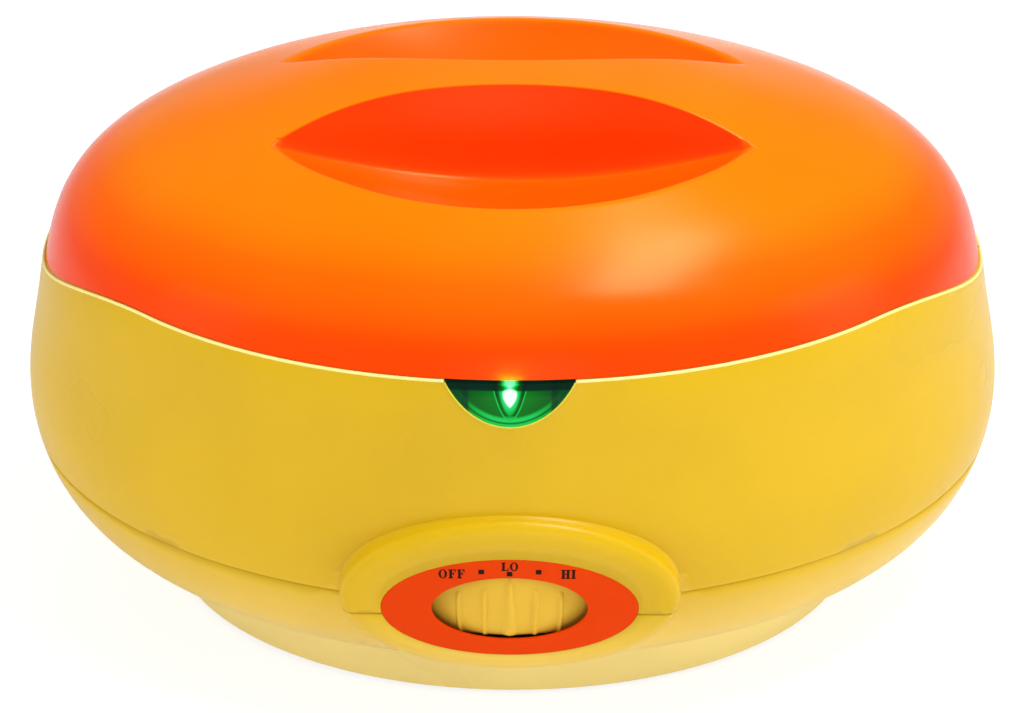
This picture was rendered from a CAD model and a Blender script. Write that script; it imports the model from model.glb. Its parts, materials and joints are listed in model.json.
"""Looks of a table-top paraffin wax bath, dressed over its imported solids.

The lid is a new surface, worked out from the same dome and scoops as the solid but with soft creases.
The bezel is a new ring with a rounded edge. The dial's grip, the casing's rim, the window's lip and
light guide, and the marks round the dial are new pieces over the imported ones. All other pieces are
smooth-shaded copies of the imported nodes. Constants and formulas of form are in millimetres, and what
Blender takes is in metres.
"""

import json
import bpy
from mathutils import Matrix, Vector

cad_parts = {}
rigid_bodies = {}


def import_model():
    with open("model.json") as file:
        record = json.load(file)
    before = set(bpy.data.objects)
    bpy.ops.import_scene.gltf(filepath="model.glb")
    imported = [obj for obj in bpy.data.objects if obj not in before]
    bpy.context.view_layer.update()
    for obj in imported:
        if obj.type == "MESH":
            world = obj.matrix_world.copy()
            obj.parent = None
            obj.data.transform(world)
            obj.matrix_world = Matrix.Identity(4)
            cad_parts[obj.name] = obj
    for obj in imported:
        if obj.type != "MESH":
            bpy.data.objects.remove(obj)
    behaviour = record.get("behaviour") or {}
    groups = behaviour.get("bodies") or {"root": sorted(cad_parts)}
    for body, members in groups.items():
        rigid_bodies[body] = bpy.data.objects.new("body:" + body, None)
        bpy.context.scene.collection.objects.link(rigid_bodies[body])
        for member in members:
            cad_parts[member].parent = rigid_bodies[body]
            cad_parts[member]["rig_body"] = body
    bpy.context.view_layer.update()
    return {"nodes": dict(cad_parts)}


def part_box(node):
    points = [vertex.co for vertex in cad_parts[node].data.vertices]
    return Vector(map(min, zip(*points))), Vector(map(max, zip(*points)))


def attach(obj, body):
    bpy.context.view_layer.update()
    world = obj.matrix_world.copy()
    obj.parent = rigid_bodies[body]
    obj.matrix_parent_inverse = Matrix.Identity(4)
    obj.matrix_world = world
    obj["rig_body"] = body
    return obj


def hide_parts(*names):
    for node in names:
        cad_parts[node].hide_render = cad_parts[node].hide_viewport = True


bl_info = {
    "name": "Paraffin bath",
    "version": (1, 0, 0),
    "blender": (4, 5, 0),
    "location": "View3D > Sidebar > Paraffin bath",
    "description": "Dresses the packed paraffin bath with surfaces and materials",
    "category": "Object",
}

from math import radians

import bmesh
import bpy
import numpy as np
from mathutils import Vector

MM = 0.001
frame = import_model()

# Outline of the casing: half-length against height, from the lower edge to the crest
SKIRT_POINTS = ((160.0, 30.4), (183.9, 55.5), (190.0, 91.0), (183.0, 130.0), (174.8, 162.0))
DOME_POINTS = ((168.3, 172.4), (149.1, 186.8), (105.9, 202.8), (69.6, 213.2))
CREST_Z = 218.3
SQUASH = 132.8 / 190.0
NARROWING_Z = 95.0

# Foot: a straight cone under the skirt, which lies wholly inside a reach
FOOT_HALF_LENGTH = 138.6
FOOT_Z = 1.5
FOOT_DRAFT = np.tan(radians(12.5))
FOOT_REACH = 150.0

# Seam: level in the middle, bent down by an arc past a distance from it. A bead lies on the rim
SEAM_Z = 162.0
SEAM_ARC = 73.6
SEAM_ARC_END = 73.0
SEAM_BEND_X = 130.0
RIM_RADIUS = 0.66
RIM_HALF_GAP = 22.9
RIM_HALF_LENGTH = 174.0

# Lid: its wall, the rise of its edge over the seam, and the longest half-length of its grid
LID_WALL = 3.2
LID_LIFT = 0.4
LID_HALF_LENGTH = 180.2

# Scoop's floor: slope at the lip in degrees, arc, lip's place under the crest, and the bow along X
FLOOR_DIP = 32.0
FLOOR_ARC = 125.0
LIP_Y = -73.6
LIP_DROP = 15.0
FLOOR_BOW = 178.0

# Scoop's wall: arc in plan, its place at the crest, and run over rise
WALL_ARC = 226.5
WALL_Y = -9.5
WALL_DRAFT = 0.25

# Scoop's tips: where they start and end, and how much deeper they are sunk
TIP_START = 55.0
TIP_RUN = 35.0
TIP_SINK = 1.3
SCOOP_HALF_LENGTH = 97.0

# Heat control: the dial window's half-length, half-height and height, and the dial's turn
WINDOW = (28.0, 14.0, 74.4)
BEZEL_EDGE = 0.35
BEZEL_THICK = 1.8
DIAL_AXIS_Y = -61.3
DIAL_RADIUS = 76.0
DIAL_BULGE = 46.0
RIB_ANGLES_AND_TOPS = ((-14.0, 6.0), (-7.0, 8.2), (7.0, 8.2), (14.0, 6.0))

# Marks: word, X, Z and share of the letters' height, and the dots' X and Z
MARKS = (("OFF", -20.7, 90.5, 1.0), ("LO", 0.1, 93.8, 0.95), ("HI", 20.9, 90.5, 1.0))
DOTS = ((-10.1, 91.4), (0.0, 90.5), (10.3, 91.4))
DOT_HALF = 1.0
LETTER_GAP = 0.09
RING_STEPS = 40

# Indicator window: an oval cut off by the seam, by its half-length, half-height and middle's rise
LENS_OVAL = (28.4, 40.0)
LENS_RISE = 23.8

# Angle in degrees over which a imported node's edge stays sharp, and how close to the casing's skin,
# in mm and by cosine, a face counts as the skin's
SHARP_ANGLE = 32.0
SKIN_GAP = 0.2
SKIN_COSINE = 0.85

# Sockets of a mix node of colours: factor, first colour, second colour, and the result
FACTOR, FIRST, SECOND, RESULT = 0, 6, 7, 2

# Soft boxes hidden from mirrored rays: name, place in metres, power in watts
SOFT_BOXES = (("back soft box", (0.2, 1.3, 0.6), 3.5), ("front soft box", (0.1, -1.5, 0.15), 4.0),
              ("right soft box", (1.2, -0.5, 0.55), 6.5), ("left soft box", (-1.2, -0.6, 0.55), 5.4))


# User values


class BathColours(bpy.types.PropertyGroup):
    """Colours as sRGB hex strings"""

    lid_steep: bpy.props.StringProperty(
        name="Lid, steep", description="Red-orange where the lid is steep", default="FB3000")
    lid: bpy.props.StringProperty(name="Lid", description="Orange of the lid's sides", default="FB5600")
    lid_top: bpy.props.StringProperty(
        name="Lid, upward", description="Lighter orange where the lid faces up", default="FC7E00")
    scoop: bpy.props.StringProperty(
        name="Lid, scoops", description="Redder orange inside the scoops", default="F44400")
    casing: bpy.props.StringProperty(name="Casing", description="Yellow of the casing", default="D8AE0C")
    casing_low: bpy.props.StringProperty(
        name="Casing, low", description="Paler yellow of the foot", default="F2DA88")
    rim: bpy.props.StringProperty(
        name="Casing rim", description="Pale yellow of the casing's top edge", default="FBE88C")
    window_lip: bpy.props.StringProperty(
        name="Window lip", description="Yellow-green lip round the window", default="D8D040")
    bezel: bpy.props.StringProperty(name="Bezel", description="Orange-red of the bezel", default="E03E00")
    dial: bpy.props.StringProperty(name="Dial", description="Pale yellow of the dial", default="E0B43A")
    ink: bpy.props.StringProperty(name="Ink", description="Printed marks", default="1C1208")


class BathSizes(bpy.types.PropertyGroup):
    """Sizes of the finish, in millimetres"""

    grain: bpy.props.FloatProperty(name="Grain", description="Pitch of the grain, mm", default=0.9)
    grain_depth: bpy.props.FloatProperty(
        name="Grain depth", description="Depth of the grain, mm", default=0.02)
    lid_ledge: bpy.props.FloatProperty(
        name="Ledge", description="Casing rim that shows outside the lid, mm", default=1.35)
    crease: bpy.props.FloatProperty(
        name="Crease", description="Reach of the soft crease in a scoop, mm", default=13.0)
    letter_height: bpy.props.FloatProperty(name="Letters", description="Height of the marks, mm", default=4.0)


# Node helpers


def linear(hex_colour):
    """sRGB hex string to a linear RGBA tuple."""
    channels = [int(hex_colour[i:i + 2], 16) / 255 for i in (0, 2, 4)]
    return tuple(c / 12.92 if c <= 0.04045 else ((c + 0.055) / 1.055) ** 2.4 for c in channels) + (1.0,)


def add(tree, kind, values=None, links=None, **settings):
    """A new node with its settings, socket values and incoming links."""
    node = tree.nodes.new(kind)
    for name, value in settings.items():
        setattr(node, name, value)
    for socket, value in (values or {}).items():
        node.inputs[socket].default_value = value
    for socket, source in (links or {}).items():
        tree.links.new(source, node.inputs[socket])
    return node


def new_material(name):
    """An empty node material, its tree and its output node."""
    material = bpy.data.materials.new(name)
    material.use_nodes = True
    tree = material.node_tree
    tree.nodes.clear()
    output = tree.nodes.new("ShaderNodeOutputMaterial")
    return material, tree, output


def per_mm(size_mm):
    """Texture scale that gives a pattern of this size."""
    return 1.0 / (size_mm * MM)


def grain_normal(tree, coordinates, grain, depth):
    """Fine moulded grain as bumps of this pitch and depth in mm."""
    fine = add(tree, "ShaderNodeTexNoise", {"Scale": per_mm(grain), "Detail": 3.0, "Roughness": 0.6},
               {"Vector": coordinates})
    return add(tree, "ShaderNodeBump", {"Distance": depth * MM},
               {"Height": fine.outputs["Fac"]}).outputs["Normal"]


def mottled(tree, coordinates, size_mm, first, second, noise=None):
    """Noise of a size in mm, and two hex colours mixed by it."""
    uneven = add(tree, "ShaderNodeTexNoise", {"Scale": per_mm(size_mm), **(noise or {})},
                 {"Vector": coordinates}).outputs["Fac"]
    tone = add(tree, "ShaderNodeMix", {FIRST: linear(first), SECOND: linear(second)}, {FACTOR: uneven},
               data_type="RGBA")
    return uneven, tone.outputs[RESULT]


def moulded(name, stops, sizes, by_lean=False, depth=None, rough=0.42, shine=0.1, deeper=None,
            tint="FFFFFF"):
    """Injection-moulded plastic with a fine sparked grain. Its colour follows stops of position and
    hex, by the surface's upward lean or else by its height in metres. Clouds of 60 mm vary the colour
    and the roughness. Deeper names an attribute of the piece and the colour where that is 1. Shine and
    tint are the level and the colour of the gloss."""
    material, tree, output = new_material(name)
    coordinates = add(tree, "ShaderNodeTexCoord").outputs["Object"]
    source = add(tree, "ShaderNodeNewGeometry").outputs["Normal"] if by_lean else coordinates
    level = add(tree, "ShaderNodeSeparateXYZ", links={"Vector": source}).outputs["Z"]
    share = add(tree, "ShaderNodeMapRange", {"From Min": stops[0][0], "From Max": stops[-1][0]},
                {"Value": level}).outputs["Result"]
    tone = add(tree, "ShaderNodeValToRGB", links={"Fac": share})
    ramp = tone.color_ramp
    span = stops[-1][0] - stops[0][0]
    for element, (_, colour) in zip(ramp.elements, (stops[0], stops[-1])):
        element.color = linear(colour)
    for place, colour in stops[1:-1]:
        ramp.elements.new((place - stops[0][0]) / span).color = linear(colour)
    clouds = add(tree, "ShaderNodeTexNoise", {"Scale": per_mm(60.0), "Detail": 2.0},
                 {"Vector": coordinates}).outputs["Fac"]
    follow_clouds = lambda low, high: add(
        tree, "ShaderNodeMapRange", {"From Min": 0.35, "From Max": 0.65, "To Min": low, "To Max": high},
        {"Value": clouds}).outputs["Result"]
    colour = tone.outputs["Color"]
    if deeper:
        share = add(tree, "ShaderNodeAttribute", attribute_name=deeper[0]).outputs["Fac"]
        colour = add(tree, "ShaderNodeMix", {SECOND: linear(deeper[1])}, {FACTOR: share, FIRST: colour},
                     data_type="RGBA").outputs[RESULT]
    varied = add(tree, "ShaderNodeHueSaturation",
                 links={"Color": colour, "Value": follow_clouds(0.97, 1.03)}).outputs["Color"]
    normal = grain_normal(tree, coordinates, sizes.grain, depth or sizes.grain_depth)
    shader = add(tree, "ShaderNodeBsdfPrincipled",
                 {"IOR": 1.5, "Specular IOR Level": shine, "Specular Tint": linear(tint)},
                 {"Base Color": varied, "Normal": normal,
                  "Roughness": follow_clouds(rough - 0.03, rough + 0.03)})
    tree.links.new(shader.outputs["BSDF"], output.inputs["Surface"])
    return material


def plain(colour):
    """Stops of one colour all over."""
    return ((0.0, colour), (1.0, colour))


def metal(name, colour, rough):
    """Sheet or drawn metal with faint streaks of the forming: 0.25 mm wide, 30 times as long along X
    and 0.004 mm deep."""
    material, tree, output = new_material(name)
    coordinates = add(tree, "ShaderNodeTexCoord").outputs["Object"]
    drawn = add(tree, "ShaderNodeMapping", {"Scale": (1 / 30.0, 1.0, 1.0)}, {"Vector": coordinates})
    streaks = add(tree, "ShaderNodeTexNoise", {"Scale": per_mm(0.25), "Detail": 3.0},
                  {"Vector": drawn.outputs["Vector"]})
    roughness = add(tree, "ShaderNodeMapRange",
                    {"From Min": 0.3, "From Max": 0.7, "To Min": rough * 0.8, "To Max": rough * 1.25},
                    {"Value": streaks.outputs["Fac"]})
    bump = add(tree, "ShaderNodeBump", {"Distance": 0.004 * MM},
               {"Height": streaks.outputs["Fac"]})
    shader = add(tree, "ShaderNodeBsdfPrincipled", {"Base Color": linear(colour), "Metallic": 1.0},
                 {"Roughness": roughness.outputs["Result"], "Normal": bump.outputs["Normal"]})
    tree.links.new(shader.outputs["BSDF"], output.inputs["Surface"])
    return material


def fibrous(name, colour, dark, fibre_mm, depth, rough):
    """Felt, rubber or unglazed ceramic: a dull body whose surface is uneven by this pitch and depth
    in mm."""
    material, tree, output = new_material(name)
    coordinates = add(tree, "ShaderNodeTexCoord").outputs["Object"]
    fibres, tone = mottled(tree, coordinates, fibre_mm, dark, colour, {"Detail": 4.0, "Roughness": 0.65})
    bump = add(tree, "ShaderNodeBump", {"Distance": depth * MM}, {"Height": fibres})
    shader = add(tree, "ShaderNodeBsdfPrincipled", {"Roughness": rough},
                 {"Base Color": tone, "Normal": bump.outputs["Normal"]})
    tree.links.new(shader.outputs["BSDF"], output.inputs["Surface"])
    return material


# Mesh helpers


def put_on(name, points, faces, material, body, node=None, smooth=True, sharp=None):
    """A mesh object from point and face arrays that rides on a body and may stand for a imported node."""
    mesh = bpy.data.meshes.new(name)
    mesh.from_pydata(points.tolist(), [], faces if isinstance(faces, list) else faces.tolist())
    return finished(name, mesh, material, body, node, smooth, sharp)


def finished(name, mesh, material, body, node=None, smooth=True, sharp=None):
    """Object of a mesh that rides on a body. Its edges over an angle, given as sharp, stay sharp."""
    mesh.polygons.foreach_set("use_smooth", np.full(len(mesh.polygons), smooth))
    if sharp:
        mesh.set_sharp_from_angle(angle=radians(sharp))
    mesh.materials.append(material)
    mesh.update()
    piece = bpy.data.objects.new(name, mesh)
    bpy.context.scene.collection.objects.link(piece)
    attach(piece, body)
    if node:
        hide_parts(node)
    return piece


def grid_faces(rows, columns, closed=False):
    """Quads of a grid of points numbered row by row; closed joins the last column to the first."""
    row = np.arange(rows - 1)[:, None] * columns
    across = np.arange(columns if closed else columns - 1)[None, :]
    right = (across + 1) % columns
    corners = [row + across, row + right, row + columns + right, row + columns + across]
    return np.stack(corners, -1).reshape(-1, 4)


def tube(path, radius, up, sides=8):
    """Round tube along a path: at each point a ring in the plane of a fixed direction up and the one
    across it and the path. The first and the last ring close it."""
    way = np.gradient(path, axis=0)
    side = np.cross(way, up)
    side /= np.linalg.norm(side, axis=1, keepdims=True)
    angle = np.linspace(0, 2 * np.pi, sides, endpoint=False)
    angle = angle[None, :, None]
    ring = np.cos(angle) * side[:, None, :] + np.sin(angle) * np.array(up, float)
    points = path[:, None, :] + radius * ring
    faces = grid_faces(len(path), sides, closed=True).tolist()
    last = (len(path) - 1) * sides
    faces += [list(range(sides))[::-1], list(range(last, last + sides))]
    return points.reshape(-1, 3), faces


def dressed(node, material, on_skin=False):
    """Smooth-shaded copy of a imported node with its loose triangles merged. Faces on the casing's skin
    may take the normals of the skin itself."""
    source = frame["nodes"][node]
    work = bmesh.new()
    work.from_mesh(source.data)
    bmesh.ops.remove_doubles(work, verts=work.verts, dist=2e-6)
    mesh = bpy.data.meshes.new(node + "_skin")
    work.to_mesh(mesh)
    work.free()
    mesh.materials.clear()
    piece = finished(mesh.name, mesh, material, source["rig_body"], node, sharp=SHARP_ANGLE)
    if on_skin:
        follow_skin(mesh)
    return piece


def follow_skin(mesh):
    """Corner normals of the skin's faces from the skin's formula. The skin is where the reach, which
    is x and y over the squash taken together, equals the outline's half-length R at that height, so
    its normal is (x / reach, y / (squash squared x reach), -dR/dz). The foot's R grows by its draft."""
    count = len(mesh.loops)
    points = np.zeros(len(mesh.vertices) * 3)
    mesh.vertices.foreach_get("co", points)
    points = points.reshape(-1, 3) / MM
    corners = np.zeros(count * 3)
    mesh.corner_normals.foreach_get("vector", corners)
    corners = corners.reshape(-1, 3)
    vertex = np.zeros(count, np.int32)
    mesh.loops.foreach_get("vertex_index", vertex)
    flat = np.zeros(len(mesh.polygons) * 3)
    mesh.polygons.foreach_get("normal", flat)
    flat = np.repeat(flat.reshape(-1, 3), 3, axis=0)
    at = points[vertex]
    reach = np.hypot(at[:, 0], at[:, 1] / SQUASH) + 1e-9
    half = np.interp(at[:, 2], PROFILE[:, 1], PROFILE[:, 0])
    slope = np.interp(at[:, 2], PROFILE[:, 1], np.gradient(PROFILE[:, 0], PROFILE[:, 1]))
    foot = (reach < FOOT_REACH) & (at[:, 2] < SKIRT_POINTS[0][1] + 0.5)
    half = np.where(foot, FOOT_HALF_LENGTH + (at[:, 2] - FOOT_Z) * FOOT_DRAFT, half)
    slope = np.where(foot, FOOT_DRAFT, slope)
    skin = np.stack([at[:, 0] / reach, at[:, 1] / (SQUASH ** 2 * reach), -slope], 1)
    skin /= np.linalg.norm(skin, axis=1, keepdims=True)
    near = (np.abs(reach - half) < SKIN_GAP) & ((skin * flat).sum(1) > SKIN_COSINE)
    whole = np.repeat(near.reshape(-1, 3).all(1), 3)
    mesh.normals_split_custom_set(np.where(whole[:, None], skin, corners))


# The casing's form


def cubic_through(points, count):
    """Natural cubic curve through points, by chord length: solves for the second derivatives and
    evaluates each span's cubic at evenly spaced parameters."""
    points = np.asarray(points, float)
    chord = np.linalg.norm(np.diff(points, axis=0), axis=1)
    knots = np.concatenate([[0.0], np.cumsum(chord)])
    n = len(points)
    system = np.eye(n)
    right = np.zeros_like(points)
    slope = np.diff(points, axis=0) / chord[:, None]
    inner = np.arange(1, n - 1)
    system[inner, inner - 1] = chord[:-1]
    system[inner, inner] = 2 * (chord[:-1] + chord[1:])
    system[inner, inner + 1] = chord[1:]
    right[inner] = 6 * np.diff(slope, axis=0)
    bend = np.linalg.solve(system, right)
    at = np.linspace(0.0, knots[-1], count)
    span = np.clip(np.searchsorted(knots, at) - 1, 0, n - 2)
    wide = chord[span][:, None]
    a = (knots[span + 1][:, None] - at[:, None]) / wide
    b = 1 - a
    return (a * points[span] + b * points[span + 1]
            + ((a ** 3 - a) * bend[span] + (b ** 3 - b) * bend[span + 1]) * wide ** 2 / 6)


def casing_profile():
    """Half-length and height along the casing's outline, in mm, from the lower edge to the crest."""
    side = SKIRT_POINTS + DOME_POINTS
    other = tuple((-x, z) for x, z in reversed(side))
    steps = 4000
    return cubic_through(side + ((0.0, CREST_Z),) + other, 2 * steps + 1)[:steps + 1]


PROFILE = casing_profile()


def seam_height(x):
    """Height of the seam: level in the middle, and an arc that bends it down at each end."""
    past = np.clip(np.abs(x) - SEAM_BEND_X, 0.0, SEAM_ARC_END)
    return SEAM_Z - SEAM_ARC + np.sqrt(SEAM_ARC ** 2 - past ** 2)


def rim_path(inset, gap):
    """Closed way round the casing's top edge in mm, this far inside its skin, less a gap of this
    half-length in the middle of the front. Height and reach follow from each other in a few rounds."""
    start = np.arcsin(gap / RIM_HALF_LENGTH)
    angle = np.linspace(start, 2 * np.pi - start, 721) - np.pi / 2
    height = np.full(angle.shape, SEAM_Z)
    for _ in range(20):
        x = (half_length_at(height) - inset) * np.cos(angle)
        height = seam_height(x)
    return np.stack([x, (half_length_at(height) - inset) * SQUASH * np.sin(angle), height], 1)


def half_length_at(z):
    """Outline's half-length at a height where it narrows upwards."""
    high = PROFILE[PROFILE[:, 1] > NARROWING_Z]
    return np.interp(z, high[:, 1], high[:, 0])


def dome_height(reach):
    """Height of the dome at a distance from the middle, measured along the length."""
    high = PROFILE[PROFILE[:, 1] > NARROWING_Z][::-1]
    return np.interp(reach, high[:, 0], high[:, 1])


def soft_max(a, b, reach):
    """Larger of two heights, blended by a parabola where they are closer than reach."""
    near = np.clip(reach - np.abs(a - b), 0.0, None)
    return np.maximum(a, b) + near ** 2 / (4 * reach)


def tip_sink(x):
    """Depth in mm by which a scoop is sunk more near its tips, so that they run out softly."""
    past = np.clip((np.abs(x) - TIP_START) / TIP_RUN, 0, 1)
    return TIP_SINK * past ** 2 * (3 - 2 * past)


def scoop_floor(x, y):
    """Bowed floor of a scoop: an arc along Y, turned about an axis that runs along Y above it."""
    dip = np.arctan(np.tan(radians(FLOOR_DIP)) * SQUASH)
    radius = FLOOR_ARC / SQUASH ** 2
    lip_y, lip_z = LIP_Y / SQUASH, CREST_Z - LIP_DROP
    middle_y, middle_z = lip_y + np.sin(dip) * radius, lip_z + np.cos(dip) * radius
    axis_z = lip_z + FLOOR_BOW
    along = np.clip(radius ** 2 - (y / SQUASH - middle_y) ** 2, 0.0, None)
    arm = axis_z - (middle_z - np.sqrt(along))
    return axis_z - np.sqrt(np.clip(arm ** 2 - x ** 2, 0.0, None)) - tip_sink(x)


def scoop_wall(x, y):
    """Steep wall of a scoop as a height: a cone whose plan is an oval arc through the crest."""
    radius = WALL_ARC * SQUASH
    middle = WALL_Y / SQUASH - radius
    out = np.hypot(x, y / SQUASH - middle) - radius
    return CREST_Z + out * SQUASH / WALL_DRAFT - tip_sink(x)


def lid_height(x, y, crease):
    """Top of the lid: the dome, cut by the scoop on each side of the middle. The crease between the
    scoop's floor and wall is soft over its reach, which runs out to 1 mm at the tips."""
    dome = dome_height(np.hypot(x, y / SQUASH))
    reach = 1.0 + crease * np.clip(1 - (x / SCOOP_HALF_LENGTH) ** 2, 0, 1)
    cut = soft_max(scoop_floor(x, -np.abs(y)), scoop_wall(x, -np.abs(y)), reach)
    return -soft_max(-dome, -cut, 1.2)


def first_crossing(values, at):
    """Whether each row of values changes sign, and where it first does, by straight interpolation."""
    turns = values[:, :-1] * values[:, 1:] < 0
    found = turns.any(1)
    i = turns.argmax(1)
    rows = np.arange(len(values))
    low, high = values[rows, i], values[rows, i + 1]
    share = np.where(found, low / np.where(found, low - high, 1.0), 0.0)
    place = at[rows, i] + share * (at[rows, i + 1] - at[rows, i])
    return found, place


def lid_rows(x, half_depth):
    """Y of each row of the lid's grid for every x, so that rows run along the rim, lips and crests.
    Each side has spans rim to lip, lip to crease, crease to crest and crest to the middle. Past a
    scoop's tip the rows keep a small room from each other and ease towards the middle of the side."""
    dense = np.linspace(-1.0, 0.0, 3001)[None, :] * half_depth[:, None]
    wide = np.broadcast_to(x[:, None], dense.shape)
    dome = dome_height(np.hypot(wide, dense / SQUASH))
    floor, wall = scoop_floor(wide, dense), scoop_wall(wide, dense)
    has_lip, lip = first_crossing(dome - floor, dense)
    has_crease, crease = first_crossing(floor - wall, dense)
    has_crest, crest = first_crossing(dome - wall, dense)
    real = has_lip & has_crease & has_crest & (crest > lip + 0.5) & (np.abs(x) < 102.0)
    tip = np.abs(x)[real].max()
    edge = np.argmin(np.abs(np.abs(x) - tip) + 1e3 * ~real)
    centre = (lip[edge] + crest[edge]) / 2
    past = np.clip((np.abs(x) - tip) / 40.0, 0.0, 1.0)
    ease = past ** 2 * (3 - 2 * past)
    middle = np.where(real, (lip + crest) / 2, (1 - ease) * centre - ease * 0.5 * half_depth)
    middle = np.maximum(middle, -0.72 * half_depth)
    room = np.minimum(7.0, 0.16 * half_depth)
    lip = np.where(real, np.minimum(lip, middle - room), middle - room)
    crest = np.where(real, np.maximum(crest, middle + room * 0.6), middle + room * 0.6)
    crease = np.where(real, np.clip(crease, lip + 0.4 * room, crest - 0.25 * room), middle)
    even = lambda n: np.linspace(0, 1, n, endpoint=False)
    ease_both = lambda n: (1 - np.cos(np.pi * even(n))) / 2
    stops = [(-half_depth, lip, 1 - (1 - even(26)) ** 1.3), (lip, crease, ease_both(34)),
             (crease, crest, ease_both(16)), (crest, 0 * crest, even(10) ** 1.3)]
    front = np.concatenate([a[:, None] + (b - a)[:, None] * s[None, :] for a, b, s in stops], 1)
    return np.concatenate([front, 0 * front[:, :1], -front[:, ::-1]], 1)


def lid_points(sizes):
    """Outer and inner grids of the lid in mm. The inner one lies in by the wall along the normal, and
    both end just above the seam."""
    x = LID_HALF_LENGTH * np.sin(np.linspace(-np.pi / 2, np.pi / 2, 261)) * 0.99995
    rim = seam_height(x) + LID_LIFT
    inset = sizes.lid_ledge
    half_depth = SQUASH * np.sqrt(np.clip((half_length_at(rim) - inset) ** 2 - x ** 2, 0.25, None))
    y = lid_rows(x, half_depth)
    wide = np.broadcast_to(x[:, None], y.shape)
    edge_reach = 176.0
    grow = 1 + inset / edge_reach * np.clip(np.hypot(wide, y / SQUASH) / edge_reach, 0, 1) ** 6
    z = lid_height(wide * grow, y * grow, sizes.crease)
    z = np.maximum(z, rim[:, None])
    outer = np.stack([wide, y, z], -1)
    along, across = np.gradient(outer, axis=0), np.gradient(outer, axis=1)
    normal = np.cross(along, across)
    normal /= np.linalg.norm(normal, axis=-1, keepdims=True) + 1e-12
    inner = outer - LID_WALL * normal
    inner[..., 2] = np.maximum(inner[..., 2], rim[:, None])
    return outer, inner


class BATH_OT_lid(bpy.types.Operator):
    """Domed lid with a finger scoop on each side of its crest"""

    bl_idname = "bath.lid"
    bl_label = "Lid"

    def execute(self, context):
        sizes, colours = context.scene.bath_sizes, context.scene.bath_colours
        outer, inner = lid_points(sizes)
        rows, columns = outer.shape[:2]
        points = np.concatenate([outer.reshape(-1, 3), inner.reshape(-1, 3)]) * MM
        # Lid: ABS moulded in a sparked tool, so a saturated orange with a satin, grained gloss
        stops = ((0.2, colours.lid_steep), (0.5, "FA4600"), (0.62, colours.lid), (0.82, "FC6600"),
                 (0.92, colours.lid_top))
        material = moulded("Satin moulded ABS, orange", stops, sizes, by_lean=True, rough=0.22, shine=0.34,
                           tint="FFC48C", deeper=("in_scoop", colours.scoop))
        lid = put_on("lid_skin", points, sheet_faces(rows, columns), material, "lid", "lid_shell",
                     sharp=50.0)
        # A scoop's colour comes in over the first 2.5 mm under the dome, up to half of the mix
        below = dome_height(np.hypot(outer[..., 0], outer[..., 1] / SQUASH)) - outer[..., 2]
        share = np.clip(below.ravel() / 2.5, 0, 1) * 0.5
        lid.data.attributes.new("in_scoop", "FLOAT", "POINT").data.foreach_set(
            "value", np.concatenate([share, 0 * share]))
        return {"FINISHED"}


class BATH_OT_casing(bpy.types.Operator):
    """Upper and lower moulding of the casing, with the control boss"""

    bl_idname = "bath.casing"
    bl_label = "Casing"

    def execute(self, context):
        sizes, colours = context.scene.bath_sizes, context.scene.bath_colours
        # Casing: ABS with the same sparked grain, a warm yellow that pales towards the foot
        stops = ((0.020, colours.casing_low), (0.050, "E6C050"), (0.075, colours.casing),
                 (0.165, colours.casing))
        material = moulded("Satin moulded ABS, yellow", stops, sizes, depth=0.006, rough=0.3, shine=0.28)
        dressed("upper_housing", material, on_skin=True)
        dressed("base_housing", material, on_skin=True)
        # Rim: the casing's rounded top edge outside the lid, where light gathers in a pale line
        points, faces = tube(rim_path(RIM_RADIUS, RIM_HALF_GAP), RIM_RADIUS, (0, 0, 1), sides=12)
        pale = moulded("Polished moulded ABS, pale yellow", plain(colours.rim), sizes, depth=0.01, rough=0.3,
                       shine=0.4)
        put_on("casing_rim", points * MM, faces, pale, "root")
        return {"FINISHED"}


# Dial, bezel and marks


def bar(x0, z0, x1, z1):
    """Rectangle of a letter, as a closed outline."""
    return np.array([(x0, z0), (x1, z0), (x1, z1), (x0, z1)])


def letter_shapes(letter):
    """Bold serif capital on a unit height, as a list of bars or of a ring's two ovals, and its width."""
    thick, thin, serif = 0.24, 0.10, 0.08
    stem = lambda x: [bar(x, 0, x + thick, 1), bar(x - serif, 0, x + thick + serif, thin),
                      bar(x - serif, 1 - thin, x + thick + serif, 1)]
    if letter == "O":
        angle = np.linspace(0, 2 * np.pi, RING_STEPS, endpoint=False)
        oval = lambda wide, tall: np.stack([0.42 + wide * np.cos(angle), 0.5 + tall * np.sin(angle)], 1)
        return [np.concatenate([oval(0.38, 0.52), oval(0.17, 0.43)])], 0.84
    if letter == "I":
        return stem(serif), thick + 2 * serif
    if letter == "L":
        return stem(serif) + [bar(serif, 0, 0.66, thin), bar(0.56, 0, 0.66, 0.30)], 0.68
    if letter == "F":
        return stem(serif) + [bar(serif, 1 - thin, 0.66, 1), bar(0.56, 0.72, 0.66, 1),
                              bar(serif + thick, 0.47, 0.5, 0.57), bar(0.42, 0.37, 0.5, 0.67)], 0.68
    if letter == "H":
        right = 0.5
        return stem(serif) + stem(right) + [bar(serif + thick, 0.45, right, 0.56)], right + thick + serif
    raise ValueError(letter)


def word_mesh(word, x, z, height, y):
    """Flat word centred at x and z on an upright face: bars and oval rings side by side."""
    outlines, faces, at, count = [], [], 0.0, 0
    for letter in word:
        shapes, width = letter_shapes(letter)
        for outline in shapes:
            ring = len(outline) > 4
            quads = grid_faces(2, RING_STEPS, closed=True) if ring else np.arange(4)[None, :]
            faces.append(quads + count)
            outlines.append(outline + (at, 0))
            count += len(outline)
        at += width + LETTER_GAP
    flat = (np.concatenate(outlines) - ((at - LETTER_GAP) / 2, 0.5)) * height
    return np.stack([x + flat[:, 0], np.full(count, y), z + flat[:, 1]], 1), np.concatenate(faces)


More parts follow.
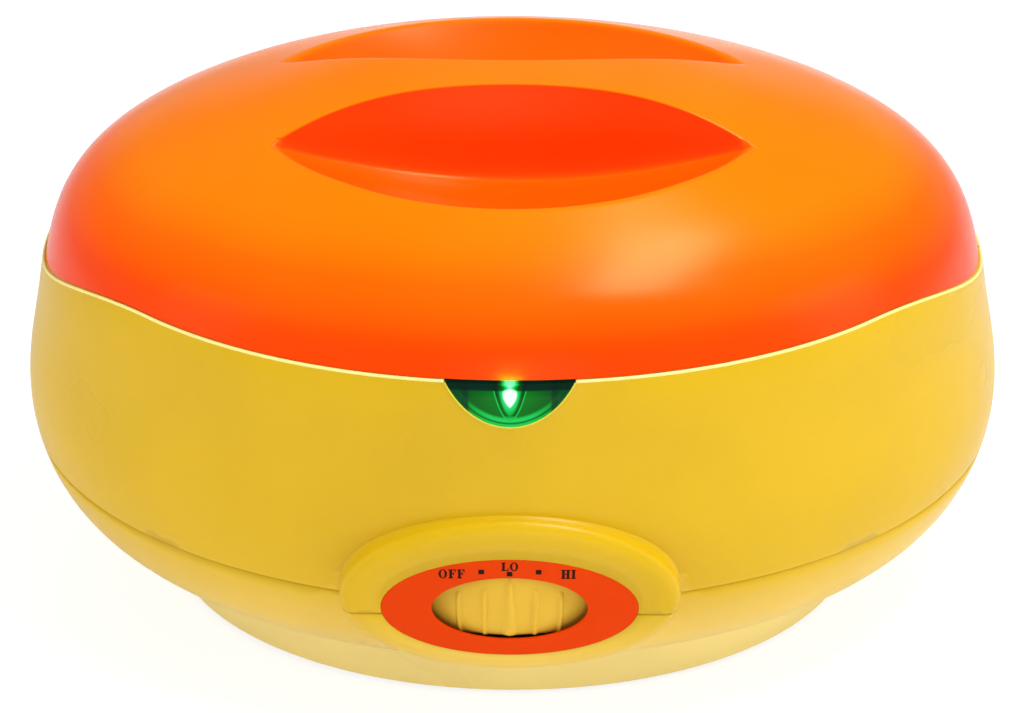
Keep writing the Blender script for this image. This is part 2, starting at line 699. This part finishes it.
def bezel_points(low, high):
    """Closed ring of ovals in mm: the bezel's own oval and the window's, each moved in by the quarter
    circle that rounds its edge of the face, and the thicker rim's step behind the window."""
    own = np.array([(high.x - low.x) / 2, (high.z - low.z) / 2, (high.z + low.z) / 2]) / MM
    face, back = low.y / MM, low.y / MM + BEZEL_THICK
    window, sides = np.array(WINDOW)[:2], 192
    quarter = np.linspace(0, np.pi / 2, 6)
    inset, drop = BEZEL_EDGE * (1 - np.cos(quarter)), BEZEL_EDGE * (1 - np.sin(quarter))
    axes = np.concatenate([own[:2] - inset[:, None], window + inset[::-1, None],
                           [window, window + 2.5, own[:2]]])
    centre = np.repeat([own[2], WINDOW[2], own[2]], [6, 8, 1])
    depth = np.concatenate([face + drop, face + drop[::-1], [face + BEZEL_THICK / 2, back, back]])
    angle = np.linspace(0, 2 * np.pi, sides, endpoint=False)
    return np.stack([axes[:, :1] * np.cos(angle), np.repeat(depth[:, None], sides, 1),
                     centre[:, None] + axes[:, 1:] * np.sin(angle)], -1)


def ridge(offset, width):
    """Height from 0 to 1 of a rounded ridge: a raised cosine over its width."""
    return (1 + np.cos(np.pi * np.clip(offset / width, -1, 1))) / 2


def dial_points():
    """Face and back of the dial's grip in mm, over the wheel: its radius is the wheel's less the rise
    of a bulge, plus four finger ribs and a pointer that widens downwards. Its lower edge narrows,
    curves in and loses the ridges, to stay clear of the casing when the dial turns."""
    bottom, top_edge, half_angle = -16.0, 14.5, 39.0
    up = np.linspace(bottom, top_edge, 123)[:, None]
    narrowing = 1.2 * np.clip(-8.0 - up, 0, None)
    angle = np.radians(np.linspace(-1, 1, 781)[None, :] * (half_angle - narrowing))
    across = angle * DIAL_RADIUS
    end = lambda top, reach: np.clip((top - up) / reach, 0, 1) ** 0.5
    height = 0
    for turn, top in RIB_ANGLES_AND_TOPS:
        rib = ridge(across - radians(turn) * DIAL_RADIUS, 1.3) * end(top, 1.5) * 0.9
        height = np.maximum(height, rib)
    wide = 0.9 + np.clip((11.5 - up) / 27.0, 0, 1) * 2.6
    height = np.maximum(height, ridge(across, wide) * end(12.6, 3.0) * 1.05)
    drop = DIAL_BULGE - np.sqrt(DIAL_BULGE ** 2 - up ** 2) + 0.2 * np.clip(-12.5 - up, 0, None) ** 2
    outer = DIAL_RADIUS + 0.12 - drop + height * np.clip((up - bottom) / 3.0, 0, 1)
    inner = DIAL_RADIUS - 1.0 - drop + 0 * angle
    return [np.stack([radius * np.sin(angle), DIAL_AXIS_Y - radius * np.cos(angle),
                      WINDOW[2] + up + 0 * angle], -1) for radius in (outer, inner)]


def sheet_faces(rows, columns):
    """Quads of a closed sheet whose front grid is followed by its back grid, with a rim round both."""
    top = grid_faces(rows, columns)
    ring = np.concatenate([np.arange(columns), np.arange(1, rows) * columns + columns - 1,
                           (rows - 1) * columns + np.arange(columns - 2, -1, -1),
                           np.arange(rows - 2, 0, -1) * columns])
    after = np.roll(ring, -1)
    under = rows * columns
    rim = np.stack([after, ring, ring + under, after + under], -1)
    return np.concatenate([top, top[:, ::-1] + under, rim])


class BATH_OT_control(bpy.types.Operator):
    """Edge-on heat dial, its flat oval bezel and the printed marks"""

    bl_idname = "bath.control"
    bl_label = "Heat control"

    def execute(self, context):
        sizes, colours = context.scene.bath_sizes, context.scene.bath_colours
        # Bezel: a separate ABS moulding in a redder orange, flat and satin
        bezel = moulded("Satin moulded ABS, orange-red", plain(colours.bezel), sizes, rough=0.4, shine=0.06)
        low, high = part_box("dial_bezel")
        ring = bezel_points(low, high)
        rows, columns = ring.shape[:2]
        faces = grid_faces(rows + 1, columns, closed=True) % (rows * columns)
        put_on("bezel_ring", ring.reshape(-1, 3) * MM, faces, bezel, "root", "dial_bezel",
               sharp=35.0)
        # Dial: pale yellow ABS, smoother where fingers turn it
        dial = moulded("Smooth moulded ABS, pale yellow", plain(colours.dial), sizes, rough=0.3)
        dressed("dial_wheel", dial)
        face, back = dial_points()
        points = np.concatenate([face.reshape(-1, 3), back.reshape(-1, 3)]) * MM
        put_on("dial_grip", points, sheet_faces(*face.shape[:2]), dial, "dial",
               sharp=60.0)
        # Marks: pad-printed ink, near black and slightly glossy
        material, tree, output = new_material("Pad-printed ink, black")
        coordinates = add(tree, "ShaderNodeTexCoord").outputs["Object"]
        worn = add(tree, "ShaderNodeTexNoise", {"Scale": per_mm(0.8), "Detail": 3.0}, {"Vector": coordinates})
        rough = add(tree, "ShaderNodeMapRange", {"To Min": 0.3, "To Max": 0.6},
                    {"Value": worn.outputs["Fac"]})
        shader = add(tree, "ShaderNodeBsdfPrincipled",
                     {"Base Color": linear(colours.ink), "Specular IOR Level": 0.1},
                     {"Roughness": rough.outputs["Result"]})
        tree.links.new(shader.outputs["BSDF"], output.inputs["Surface"])
        printed = low.y / MM - 0.05
        for word, x, z, share in MARKS:
            points, faces = word_mesh(word, x, z, sizes.letter_height * share, printed)
            put_on("mark_" + word.lower(), points * MM, faces, material, "root",
                   smooth=False)
        square = bar(-DOT_HALF, -DOT_HALF, DOT_HALF, DOT_HALF)
        squares = np.concatenate([square + dot for dot in DOTS])
        points = np.insert(squares, 1, printed, axis=1)
        faces = np.arange(len(squares)).reshape(-1, 4)
        put_on("mark_dots", points * MM, faces, material, "root", smooth=False)
        return {"FINISHED"}


# Window and lamp


def lit_green(top):
    """Clear green polycarbonate over a lit lamp. Brightness is the sum of a lamp shaped like a drop,
    its halo, a crescent along the curved edge and an even glow between them, less a dark strip along
    the top, a dark band at each side and a dark line inside the light guide's parabola."""
    material, tree, output = new_material("Glossy moulded polycarbonate, green")
    coordinates = add(tree, "ShaderNodeTexCoord").outputs["Object"]
    parts = add(tree, "ShaderNodeSeparateXYZ", links={"Vector": coordinates})
    math = lambda kind, *terms: add(
        tree, "ShaderNodeMath", {i: t for i, t in enumerate(terms) if isinstance(t, float)},
        {i: t for i, t in enumerate(terms) if not isinstance(t, float)}, operation=kind).outputs[0]
    oval = lambda z, wide, tall: add(
        tree, "ShaderNodeVectorMath", operation="LENGTH", links={"Vector": add(
            tree, "ShaderNodeMapping", {"Location": (0.0, 0.0, -z / (tall * MM)),
                                        "Scale": (1 / (wide * MM), 0.0, 1 / (tall * MM))},
            {"Vector": coordinates}).outputs["Vector"]}).outputs["Value"]
    fall = lambda value, start, end, first, last: add(
        tree, "ShaderNodeMapRange", {"From Min": start, "From Max": end, "To Min": first, "To Max": last},
        {"Value": value}, interpolation_type="SMOOTHSTEP").outputs["Result"]
    side = math("ABSOLUTE", parts.outputs["X"])
    down = math("SUBTRACT", top, parts.outputs["Z"])
    squared = lambda value, size: math("POWER", math("DIVIDE", value, size * MM), 2.0)
    slim = math("SUBTRACT", 1.0, squared(down, 10.5))
    drop = fall(math("SQRT", math("ADD", squared(math("DIVIDE", side, slim), 3.3),
                                  squared(math("SUBTRACT", down, 4.7 * MM), 4.1))), 0.45, 1.1, 0.8, 0.0)
    drop = math("MULTIPLY", drop, fall(down, 8.8 * MM, 9.8 * MM, 1.0, 0.0))
    halo = math("ADD", fall(oval(top - 3.0 * MM, 5.0, 11.5), 0.3, 1.0, 0.34, 0.0),
                fall(oval(top, 4.2, 1.8), 0.3, 1.0, 0.45, 0.0))
    wide_glow = fall(oval(top - 5.0 * MM, 17.0, 13.0), 0.1, 1.0, 0.14, 0.0)
    edge = oval(top + LENS_RISE * MM, *LENS_OVAL)
    crescent = math("MULTIPLY", fall(edge, 0.885, 0.925, 0.0, 0.30), fall(side, 6 * MM, 19 * MM, 1.0, 0.35))
    seam = fall(math("ABSOLUTE", math("SUBTRACT", edge, 0.955)), 0.0, 0.016, 0.6, 1.0)
    band = fall(math("ABSOLUTE", math("SUBTRACT", side, 15.6 * MM)), 0.6 * MM, 1.6 * MM, 0.45, 1.0)
    outer = fall(side, 16 * MM, 17.5 * MM, 1.0, 0.6)
    strip = fall(down, 2.0 * MM, 2.8 * MM, 0.1, 1.0)
    arms = math("SQRT", math("MAXIMUM", math("DIVIDE", math("SUBTRACT", 12.0 * MM, down), 0.42 / MM), 0.0))
    line = fall(math("ABSOLUTE", math("SUBTRACT", side, arms)), 0.2 * MM, 1.1 * MM, 0.5, 1.0)
    inside = math("MAXIMUM", line, fall(down, 10.8 * MM, 11.8 * MM, 0.0, 1.0))
    body = math("ADD", math("ADD", wide_glow, 0.24), crescent)
    for shade in (band, outer, strip, seam, inside):
        body = math("MULTIPLY", body, shade)
    glow = math("ADD", math("ADD", body, halo), drop)
    ramp = add(tree, "ShaderNodeValToRGB", links={"Fac": glow})
    ramp.color_ramp.elements[0].color = linear("001A12")
    ramp.color_ramp.elements[1].color = linear("F4FFFA")
    for place, colour in ((0.1, "003820"), (0.24, "005410"), (0.36, "007A14"), (0.52, "00BE48"),
                          (0.72, "2CF07C"), (0.88, "A8FFDC")):
        ramp.color_ramp.elements.new(place).color = linear(colour)
    shader = add(tree, "ShaderNodeBsdfPrincipled",
                 {"Base Color": linear("000A04"), "Roughness": 0.08, "IOR": 1.58, "Specular IOR Level": 0.12,
                  "Emission Strength": 1.0},
                 {"Emission Color": ramp.outputs["Color"]})
    tree.links.new(shader.outputs["BSDF"], output.inputs["Surface"])
    return material


def skin_depth(x, z):
    """Y of the casing's skin in front of the middle, in mm."""
    half = np.interp(z, PROFILE[:, 1], PROFILE[:, 0])
    return -SQUASH * np.sqrt(half ** 2 - x ** 2)


class BATH_OT_window(bpy.types.Operator):
    """Green indicator window, its moulded light guide and the lit lamp behind it"""

    bl_idname = "bath.window"
    bl_label = "Indicator window"

    def execute(self, context):
        sizes, colours = context.scene.bath_sizes, context.scene.bath_colours
        _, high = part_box("indicator_lens")
        # Window: clear green polycarbonate, glossy, brightest round the lamp
        dressed("indicator_lens", lit_green(high.z), on_skin=True)
        # Light guide: a moulded rib on the window's face, a parabola that opens upwards and glows
        x = np.linspace(-5.6, 5.6, 61)
        z = high.z / MM - 13.2 + 0.34 * x ** 2
        path = np.stack([x, skin_depth(x, z) + 0.1, z], 1)
        points, faces = tube(path, 0.26, (0, 1, 0))
        guide, tree, output = new_material("Glowing moulded rib, green")
        coordinates = add(tree, "ShaderNodeTexCoord").outputs["Object"]
        _, tone = mottled(tree, coordinates, 3.0, "00A83C", "20E060")
        shader = add(tree, "ShaderNodeBsdfPrincipled",
                     {"Base Color": linear("003016"), "Roughness": 0.15, "Specular IOR Level": 0.1,
                      "Emission Strength": 0.9}, {"Emission Color": tone})
        tree.links.new(shader.outputs["BSDF"], output.inputs["Surface"])
        put_on("light_guide", points * MM, faces, guide, "root")
        # Lip: the casing's thin rounded edge round the window's curve, polished by the tool
        x = np.linspace(-22.7, 22.7, 97)
        z = SEAM_Z + LENS_RISE - LENS_OVAL[1] * np.sqrt(1 - (x / LENS_OVAL[0]) ** 2)
        points, faces = tube(np.stack([x, skin_depth(x, z) + 0.05, z], 1), 0.34, (0, 1, 0))
        lip = moulded("Polished moulded ABS, yellow", plain(colours.window_lip), sizes, depth=0.01, rough=0.2)
        put_on("window_lip", points * MM, faces, lip, "root")
        # Lamp: a frosted glass cap, nearly white where it is lit
        lit, tree, output = new_material("Lit diffused lamp cap")
        coordinates = add(tree, "ShaderNodeTexCoord").outputs["Object"]
        _, tone = mottled(tree, coordinates, 2.0, "C8FFD8", "FFFFFF")
        shader = add(tree, "ShaderNodeBsdfPrincipled", {"Roughness": 0.3, "Emission Strength": 1.0},
                     {"Base Color": tone, "Emission Color": tone})
        tree.links.new(shader.outputs["BSDF"], output.inputs["Surface"])
        dressed("indicator_lamp", lit)
        return {"FINISHED"}


# Everything else


class BATH_OT_inner(bpy.types.Operator):
    """Tank, grille, heater, thermostat, inlet, feet and fixings"""

    bl_idname = "bath.inner"
    bl_label = "Inner pieces"

    def execute(self, context):
        sizes = context.scene.bath_sizes
        # Tank: deep-drawn aluminium, satin, with streaks along the draw
        tank = metal("Satin drawn aluminium", "C9CACC", 0.34)
        # Plates under the tank: bright rolled aluminium sheet
        sheet = metal("Bright rolled aluminium sheet", "D8D9DA", 0.22)
        # Heater: stainless sheath, tinted by heat
        sheath = metal("Heat-tinted stainless sheath", "8E8578", 0.38)
        # Fixings: zinc-plated steel, a little blue
        zinc = metal("Zinc-plated steel", "B9BDBE", 0.35)
        # Pins: nickel-plated brass shows a warm metal
        brass = metal("Drawn brass pins", "D2B060", 0.25)
        # Gasket and feet: matt moulded rubber
        rubber = fibrous("Matt moulded rubber", "1B1B1C", "121213", 0.6, 0.02, 0.75)
        # Band round the tank: loose mineral felt
        felt = fibrous("Loose mineral felt", "E4DFD0", "B5AE9C", 1.6, 0.5, 0.95)
        # Thermostat: unglazed steatite
        steatite = fibrous("Unglazed steatite", "DCD7C8", "CFC9B8", 0.5, 0.01, 0.6)
        # Grille: heat-proof polypropylene, off-white and waxy
        grille = moulded("Satin moulded polypropylene, white", plain("EFEDE4"), sizes, rough=0.45)
        # Inlet and block: glass-filled nylon
        nylon = moulded("Moulded glass-filled nylon, black", plain("16171A"), sizes, rough=0.5)
        pale = moulded("Moulded nylon, natural", plain("DEDCD0"), sizes, rough=0.5)
        pieces = {
            "inner_tank": tank, "tank_gasket": rubber, "insulation_blanket": felt, "wax_grille": grille,
            "heating_element": sheath, "heater_clamp_plate": sheet, "heat_shield": sheet,
            "tank_studs": zinc, "stud_nuts": zinc, "thermostat_body": steatite, "thermostat_shaft": zinc,
            "thermostat_strap": zinc,
            "thermal_fuse": zinc, "fuse_clip": zinc, "terminal_block": pale, "lamp_holder": zinc,
            "mains_inlet": nylon, "inlet_pins": brass, "inlet_screws": zinc, "housing_screws": zinc,
            "rubber_feet": rubber,
        }
        for node, material in pieces.items():
            dressed(node, material)
        return {"FINISHED"}


# Stage


def area_light(name, place, aim, size, power, colour="FFFFFF"):
    """Soft rectangular lamp that faces a point."""
    data = bpy.data.lights.new(name, "AREA")
    data.shape = "RECTANGLE"
    data.size, data.size_y = size
    data.energy = power
    data.color = linear(colour)[:3]
    lamp = bpy.data.objects.new(name, data)
    lamp.location = place
    lamp.visible_camera = False
    back = np.array(place) - np.array(aim)
    lamp.rotation_mode = "QUATERNION"
    lamp.rotation_quaternion = Vector(back).to_track_quat("Z", "Y")
    bpy.context.scene.collection.objects.link(lamp)
    return lamp


class BATH_OT_stage(bpy.types.Operator):
    """Pale floor, soft studio light and the camera"""

    bl_idname = "bath.stage"
    bl_label = "Stage"

    def execute(self, context):
        scene = context.scene
        scene.view_settings.view_transform = "Standard"
        points = np.insert(bar(-6.0, -6.0, 6.0, 6.0), 2, -0.0002, axis=1)
        mesh = bpy.data.meshes.new("floor")
        mesh.from_pydata(points.tolist(), [], [(0, 1, 2, 3)])
        # Paper: a plain diffuse sheet for the light, and for the camera a shadow lifted to white
        material, tree, output = new_material("Seamless paper, white")
        seen = add(tree, "ShaderNodeLightPath").outputs["Is Camera Ray"]
        bounce = add(tree, "ShaderNodeBsdfDiffuse", {"Color": (0.85, 0.85, 0.85, 1)})
        shadow = add(tree, "ShaderNodeBsdfDiffuse", {"Color": (0.35, 0.35, 0.35, 1)})
        lift = add(tree, "ShaderNodeEmission", {"Color": (1, 1, 1, 1), "Strength": 0.77})
        shown = add(tree, "ShaderNodeAddShader", {}, {0: shadow.outputs[0], 1: lift.outputs[0]})
        paper = add(tree, "ShaderNodeMixShader", {}, {0: seen, 1: bounce.outputs[0], 2: shown.outputs[0]})
        tree.links.new(paper.outputs[0], output.inputs["Surface"])
        mesh.materials.append(material)
        floor = bpy.data.objects.new("floor", mesh)
        scene.collection.objects.link(floor)

        world = bpy.data.worlds.new("Soft room")
        scene.world = world
        world.use_nodes = True
        tree = world.node_tree
        tree.nodes.clear()
        path = add(tree, "ShaderNodeLightPath")
        mirrored = add(tree, "ShaderNodeMath", {},
                       {0: path.outputs["Is Glossy Ray"], 1: path.outputs["Is Transmission Ray"]},
                       operation="MAXIMUM")
        # Mirrored rays see a half-bright backdrop up to about 6 degrees, and above it a room that
        # dims to a tenth by about 20 degrees, since a bright one puts a haze on the lid
        up = add(tree, "ShaderNodeSeparateXYZ", links={"Vector": add(
            tree, "ShaderNodeTexCoord").outputs["Generated"]}).outputs["Z"]
        ceiling = add(tree, "ShaderNodeMapRange",
                      {"From Min": 0.1, "From Max": 0.35, "To Min": 0.45, "To Max": 0.1},
                      {"Value": up}).outputs["Result"]
        room_seen = add(tree, "ShaderNodeMix", {"A": 0.53}, {"Factor": mirrored.outputs[0], "B": ceiling})
        strength = add(tree, "ShaderNodeMath", {},
                       {0: room_seen.outputs["Result"], 1: path.outputs["Is Camera Ray"]},
                       operation="MAXIMUM")
        room = add(tree, "ShaderNodeBackground", {"Color": (1, 1, 1, 1)}, {"Strength": strength.outputs[0]})
        end = add(tree, "ShaderNodeOutputWorld")
        tree.links.new(room.outputs[0], end.inputs["Surface"])

        area_light("overhead soft box", (0.38, -0.11, 1.38), (0.038, -0.094, 0.191), (0.70, 0.26), 9.5)
        for name, place, power in SOFT_BOXES:
            area_light(name, place, (0, 0, 0.1), (0.5, 0.8), power).visible_glossy = False
        # The lamp's own light on the lid's edge above the window
        area_light("lamp glow", (0, -0.1228, 0.1618), (0, -0.1208, 0.1645), (0.007, 0.001), 0.0022,
                   "20FF40").visible_glossy = False

        # Camera: its place, turn and lens were fitted to the outline and the seams in the photo
        data = bpy.data.cameras.new("photo view")
        data.lens = 98.18
        data.sensor_width = 36.0
        data.clip_start, data.clip_end = 0.05, 50.0
        camera = bpy.data.objects.new("photo view", data)
        camera.location = (0.0060, -0.9168, 0.7094)
        camera.rotation_euler = (radians(56.0), 0.0, radians(0.38))
        scene.collection.objects.link(camera)
        scene.camera = camera
        return {"FINISHED"}


class BATH_PT_panel(bpy.types.Panel):
    """Lists the pieces of the bath"""

    bl_idname = "BATH_PT_panel"
    bl_label = "Paraffin bath"
    bl_space_type = "VIEW_3D"
    bl_region_type = "UI"
    bl_category = "Paraffin bath"

    def draw(self, context):
        for group in (context.scene.bath_colours, context.scene.bath_sizes):
            for name in group.__annotations__:
                self.layout.prop(group, name)
        for operator in OPERATORS:
            self.layout.operator(operator.bl_idname)


OPERATORS = (BATH_OT_lid, BATH_OT_casing, BATH_OT_control, BATH_OT_window, BATH_OT_inner, BATH_OT_stage)
CLASSES = (BathColours, BathSizes) + OPERATORS + (BATH_PT_panel,)


def register():
    for one in CLASSES:
        bpy.utils.register_class(one)
    bpy.types.Scene.bath_colours = bpy.props.PointerProperty(type=BathColours)
    bpy.types.Scene.bath_sizes = bpy.props.PointerProperty(type=BathSizes)


def unregister():
    del bpy.types.Scene.bath_sizes
    del bpy.types.Scene.bath_colours
    for one in reversed(CLASSES):
        bpy.utils.unregister_class(one)


def main():
    register()
    bpy.ops.bath.lid()
    bpy.ops.bath.casing()
    bpy.ops.bath.control()
    bpy.ops.bath.window()
    bpy.ops.bath.inner()
    bpy.ops.bath.stage()


if __name__ == "__main__":
    main()
